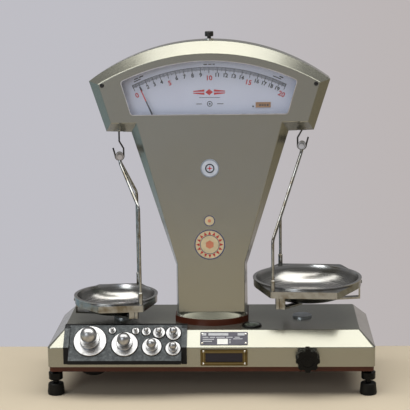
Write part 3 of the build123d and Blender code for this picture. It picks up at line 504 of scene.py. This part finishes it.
def numbers(name, values, size, radius, material):
    """Plain numbers round the dial, as one mesh."""
    drawn = bmesh.new()
    for value in values:
        curve = bpy.data.curves.new(name, "FONT")
        curve.body = str(value)
        curve.size = size * MM
        curve.align_x = "CENTER"
        curve.align_y = "CENTER"
        curve.resolution_u = 3
        curve.offset = number_weight
        text = bpy.data.objects.new(name, curve)
        bpy.context.scene.collection.objects.link(text)
        bpy.context.view_layer.update()
        flat = bpy.data.meshes.new_from_object(text.evaluated_get(bpy.context.evaluated_depsgraph_get()))
        x, z = on_dial(radius, angle_of(value))
        turn = Matrix.Rotation(radians(angle_of(value)), 4, "Y") @ Matrix.Rotation(radians(90), 4, "X")
        flat.transform(Matrix.Translation((x * MM, dial_face - print_gap, z * MM)) @ turn)
        drawn.from_mesh(flat)
        bpy.data.objects.remove(text)
        bpy.data.meshes.remove(flat)
    lay_print(name, drawn, material, "stand")


def arc_bars(radius, height, stretches):
    """Curved bars round the dial, between pairs of angles."""
    made = []
    for start, end in stretches:
        made += ring_faces(pointer_centre, radius - height / 2, radius + height / 2, start, end, dial_steps)
    return made


def dial_small_print():
    """Rows of plain bars in place of small print, and a round mark of a ring with a dot."""
    mark_centre = (0.6, 406.1)
    bars = arc_bars(252.8, 1.5, ((-24.6, -23.2), (-22.9, -21.4), (23.0, 24.3)))
    bars += arc_bars(250.0, 1.2, ((-25.0, -22.6), (21.0, 23.9)))
    bars += arc_bars(250.4, 1.3, ((-1.7, -0.5), (-0.2, 0.9), (1.2, 1.9)))
    for low_corner, high_corner in (
        ((-14.0, 414.6), (15.0, 415.2)),
        ((-18.5, 405.6), (-10.5, 406.5)),
        ((11.0, 405.6), (20.0, 406.5)),
        ((60.4, 400.8), (62.6, 403.0)),
    ):
        bars += bar_faces(*low_corner, *high_corner)
    bars += ring_faces(mark_centre, 2.9, 3.9) + ring_faces(mark_centre, 0, 1.3, steps=24)
    sheet_mesh("dial_small_print", bars, upright(dial_face - print_gap), black_ink, "stand")


def dial_ornament():
    """A plain red ornament: a lozenge between two pairs of tapering bars."""
    x, z = 0.0, 422.6
    half_wide, half_high = 5.4, 4.4
    near_end, far_end = 6.6, 22.5
    low_edge, near_edge, far_edge = 0.6, 3.8, 1.9
    shapes = [[(x, z - half_high), (x + half_wide, z), (x, z + half_high), (x - half_wide, z)]]
    for side in (-1, 1):
        for rise in (-1, 1):
            near, far = x + side * near_end, x + side * far_end
            low = z + rise * low_edge
            shapes.append([(near, low), (near, z + rise * near_edge), (far, z + rise * far_edge), (far, low)])
    sheet_mesh("dial_ornament", shapes, upright(dial_face - print_gap), red_ink, "stand")


def number_plate_marks():
    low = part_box("number_plate")[0]
    left, bottom = low.x / MM + 5.2, low.z / MM + 2.0
    width, height, pitch = 2.2, 2.6, 3.6
    marks = []
    for k in range(4):
        marks += bar_faces(left + pitch * k, bottom, left + pitch * k + width, bottom + height)
    sheet_mesh("number_plate_marks", marks, upright(low.y - print_gap), black_ink, "stand")


dial_marks()
red_values = range(0, dial_units + 1, 5)
black_values = [value for value in range(dial_units + 1) if value not in red_values]
numbers("dial_numbers_black", black_values, black_size, black_radius, black_ink)
numbers("dial_numbers_red", red_values, red_size, red_radius, red_ink)
dial_small_print()
dial_ornament()
number_plate_marks()


def pointer_tip():
    """The red stretch of the pointer, as a thin film over its front."""
    turn = radians(-23.9)
    blade_setback = 0.7 * MM
    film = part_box("pointer")[0].y + blade_setback - print_gap
    low, high = 219.0, 236.0
    half_low, half_high = 0.95, 0.62

    def along(across, up):
        x = pointer_centre[0] + up * sin(turn) + across * cos(turn)
        z = pointer_centre[1] + up * cos(turn) - across * sin(turn)
        return Vector((x * MM, film, z * MM))

    outline = [(-half_low, low), (half_low, low), (half_high, high), (-half_high, high)]
    sheet_mesh("pointer_tip", [outline], along, red_ink, "pointer")


pointer_tip()


# Prints on the column and the base, in millimetres


def face_centre(name):
    """Middle of a node's box, across and up."""
    low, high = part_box(name)
    return (low.x + high.x) / 2 / MM, (low.z + high.z) / 2 / MM


def round_point(centre, radius, angle):
    return centre[0] + radius * sin(angle), centre[1] + radius * cos(angle)


def badge_print():
    """A ring and a four-pointed star on the round badge."""
    centre = face_centre("badge")
    plane = upright(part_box("badge")[0].y - print_gap)
    edge = ring_faces(centre, 11.6, 12.9)
    ring = ring_faces(centre, 4.9, 6.6)
    sheet_mesh("badge_edge", edge, plane, slate_ink, "stand")
    sheet_mesh("badge_ring", ring, plane, black_ink, "stand")
    star_tip, star_waist = 4.3, 1.1
    star = []
    for k in range(4):
        a = radians(90 * k)
        sides = [round_point(centre, star_waist, a + radians(turn)) for turn in (45, -45)]
        star.append([centre, sides[0], round_point(centre, star_tip, a), sides[1]])
    sheet_mesh("badge_star", star, plane, red_ink, "stand")


def decal_print():
    """A band of pointed rays round a plain hexagon, and a ringed dot above."""
    low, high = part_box("decal")
    across = face_centre("decal")[0]
    big_above_edge, small_below_edge = 22.0, 8.0
    big = (across, low.z / MM + big_above_edge)
    small = (across, high.z / MM - small_below_edge)
    plane = upright(low.y - print_gap)
    ray_count = 16
    ray_half = radians(8.2)
    ray_foot, ray_tip = 14.6, 19.6
    hexagon_radius = 6.2
    rays = []
    for k in range(ray_count):
        a = radians(360 * k / ray_count)
        feet = [round_point(big, ray_foot, a + turn) for turn in (-ray_half, ray_half)]
        rays.append([*feet, round_point(big, ray_tip, a)])
    sheet_mesh("decal_rays", rays, plane, red_ink, "stand")
    edges = ring_faces(big, 20.4, 21.9) + ring_faces(big, 13.0, 13.8) + ring_faces(small, 6.7, 7.9)
    sheet_mesh("decal_rings", edges, plane, blue_ink, "stand")
    hexagon = [round_point(big, hexagon_radius, radians(60 * k)) for k in range(6)]
    sheet_mesh("decal_hexagon", [hexagon], plane, salmon_ink, "stand")
    sheet_mesh("decal_dot", ring_faces(small, 0, 2.4, steps=24), plane, salmon_ink, "stand")


def data_plate_print():
    """Plain bars and a pale cell, as a form would have."""
    low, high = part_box("data_plate")
    centre = (low + high) / 2
    outward, height = sloping_face("data_plate")
    centre += outward * (height - centre.dot(outward))
    upward = Vector((0, outward.z, -outward.y))

    def plane(across, up):
        return centre + Vector((across * MM, 0, 0)) + upward * (up * MM) + outward * print_gap

    heading_low, heading_high = 4.6, 8.6
    pale = []
    for start, end in ((-31.0, -25.0), (-22.0, 6.0), (19.0, 29.0)):
        pale += bar_faces(start, heading_low, end, heading_high)
    line_height = 1.2
    for start, end, up in (
        (-30, -22, 1.2), (-20, -12.5, 1.2), (-11, 1, 1.2), (3, 12, 1.2), (15, 22, 1.2),
        (-30, -14, -2.0), (13, 26, -1.4), (-30, -17, -5.2),
    ):
        pale += bar_faces(start, up, end, up + line_height)
    dash_start, dash_end = 7.0, 9.6
    dash_low, dash_high, dash_pitch = -2.4, -1.4, 2.6
    for k in range(3):
        drop = dash_pitch * k
        pale += bar_faces(dash_start, dash_low - drop, dash_end, dash_high - drop)
    cell = bar_faces(-9.6, -9.4, 5.4, -0.6)
    sheet_mesh("data_plate_bars", pale, plane, grey_ink, "stand")
    sheet_mesh("data_plate_cell", cell, plane, white_ink, "stand")


def seal_line():
    """A rectangular line on the seal's frame, as four bars."""
    x, z = face_centre("seal_frame")
    w, h, line = 28.8, 8.7, 0.8
    faces = (
        bar_faces(x - w, z + h - line, x + w, z + h)
        + bar_faces(x - w, z - h, x + w, z - h + line)
        + bar_faces(x - w, z - h + line, x - w + line, z + h - line)
        + bar_faces(x + w - line, z - h + line, x + w, z + h - line)
    )
    plane = upright(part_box("seal_frame")[0].y - print_gap)
    sheet_mesh("seal_line", faces, plane, gold_line, "stand")


badge_print()
decal_print()
data_plate_print()
seal_line()


# Stage, light and camera

floor_tone = (0.58, 0.50, 0.385)
floor_width = 1.2
floor_front = -1.1
floor_back = 0.16


def floor():
    """A plain table top that ends a little behind the object."""
    depth = floor_back - floor_front
    bpy.ops.mesh.primitive_plane_add(size=1, location=(0, floor_front + depth / 2, 0))
    made = bpy.context.object
    made.name = "floor"
    made.scale = (floor_width, depth, 1)
    paint = Paint("floor_tone", floor_tone, 0.85)
    paint.mottle(tuple(0.95 * part for part in floor_tone), 3)
    made.data.materials.append(paint.material)


def softbox(name, place, turn, size, power, color):
    data = bpy.data.lights.new(name, "AREA")
    data.shape = "RECTANGLE"
    data.size, data.size_y = size
    data.energy = power
    data.color = color
    made = bpy.data.objects.new(name, data)
    made.location = place
    made.rotation_euler = [radians(angle) for angle in turn]
    bpy.context.scene.collection.objects.link(made)


def room(wall_left, wall_right, low_sky, ceiling, cool_side, warm_side):
    """A soft room as a world colour: a pale wall low down, dimmer above, one side cool and one warm."""
    world = bpy.data.worlds.new("studio")
    bpy.context.scene.world = world
    world.use_nodes = True
    tree = world.node_tree

    def blend(low, high, source, first, second):
        """Drifts from the first colour to the second while the source goes from low to high."""
        share = tree.nodes.new("ShaderNodeMapRange")
        share.interpolation_type = "SMOOTHSTEP"
        share.inputs["From Min"].default_value = low
        share.inputs["From Max"].default_value = high
        tree.links.new(source, share.inputs["Value"])
        mix = tree.nodes.new("ShaderNodeMix")
        mix.data_type = "RGBA"
        tree.links.new(share.outputs["Result"], mix.inputs["Factor"])
        for socket, value in ((MIX_FIRST, first), (MIX_SECOND, second)):
            if isinstance(value, tuple):
                mix.inputs[socket].default_value = (*value, 1.0)
            else:
                tree.links.new(value, mix.inputs[socket])
        return mix.outputs[MIX_RESULT]

    direction = tree.nodes.new("ShaderNodeTexCoord")
    parts = tree.nodes.new("ShaderNodeSeparateXYZ")
    tree.links.new(direction.outputs["Generated"], parts.inputs[0])
    across, upward = parts.outputs["X"], parts.outputs["Z"]
    wall = blend(-0.15, 0.15, across, wall_left, wall_right)
    cooled = blend(-0.75, -0.25, across, cool_side, wall)
    around = blend(0.25, 0.75, across, cooled, warm_side)
    above = blend(0.05, 0.35, upward, low_sky, ceiling)
    tree.links.new(blend(-0.03, 0.08, upward, around, above), tree.nodes["Background"].inputs["Color"])


floor()
room(
    wall_left=(0.52, 0.515, 0.555),
    wall_right=(0.50, 0.46, 0.455),
    low_sky=(0.26, 0.255, 0.25),
    ceiling=(0.20, 0.20, 0.20),
    cool_side=(0.29, 0.385, 0.42),
    warm_side=(0.31, 0.272, 0.190),
)
softbox(
    "overhead", place=(0.05, -0.36, 1.95), turn=(0, 0, 0), size=(4.2, 1.5), power=66, color=(1.0, 0.99, 0.94)
)
softbox(
    "fill", place=(-1.5, -2.7, 1.3), turn=(72, 0, -29), size=(1.4, 1.2), power=19, color=(0.90, 0.96, 1.0)
)

camera_target = Vector((-8.8, 0.0, 258.0)) * MM
camera_distance = 1.996
camera_elevation = radians(10.6)
camera_azimuth = radians(2.4)
camera_roll = radians(-0.8)
picture_side = 410
focal_pixels = 1387
sensor_width = 36.0

camera_data = bpy.data.cameras.new("camera")
camera_data.sensor_width = sensor_width
camera_data.lens = sensor_width * focal_pixels / picture_side
camera = bpy.data.objects.new("camera", camera_data)
bpy.context.scene.collection.objects.link(camera)
camera.location = camera_target + camera_distance * Vector(
    (
        sin(camera_azimuth) * cos(camera_elevation),
        -cos(camera_azimuth) * cos(camera_elevation),
        sin(camera_elevation),
    )
)
aim = (camera_target - camera.location).to_track_quat("-Z", "Y").to_matrix()
camera.rotation_euler = (aim @ Matrix.Rotation(camera_roll, 3, "Z")).to_euler()
bpy.context.scene.camera = camera

bpy.context.scene.view_settings.view_transform = "Standard"
